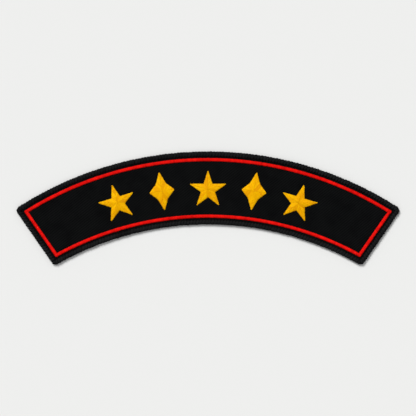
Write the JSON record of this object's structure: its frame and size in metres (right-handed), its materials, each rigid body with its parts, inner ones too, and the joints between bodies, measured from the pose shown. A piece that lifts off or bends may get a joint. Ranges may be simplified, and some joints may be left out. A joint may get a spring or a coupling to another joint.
{
  "type": "rocker patch",
  "caption": "Curved back patch of stiffened black twill with a merrowed edge, a red satin-stitched line round its field and gold star and lozenge ornaments.",
  "frame": {"origin": "middle of the flat back, at the centre of the bounding box's underside", "axes": "+X along the band, to the right when the embroidered face is looked at with the crown up, +Y to the crown of the arch, +Z out of the embroidered face"},
  "size_m": [0.305, 0.0903, 0.0028],
  "materials": {
    "black_twill": "matte black cotton and polyester twill, stiffened at the back",
    "black_edge_thread": "thick black polyester overlock thread with a dull shine",
    "red_thread": "bright red rayon embroidery thread in satin stitch, glossy across the stitches",
    "gold_thread": "golden yellow rayon embroidery thread in satin stitch, glossy across the stitches"
  },
  "bodies": {
    "root": {"twill_ground": "black_twill", "merrowed_edge": "black_edge_thread", "red_line": "red_thread", "left_star": "gold_thread", "left_lozenge": "gold_thread", "middle_star": "gold_thread", "right_lozenge": "gold_thread", "right_star": "gold_thread"}
  },
  "joints": []
}
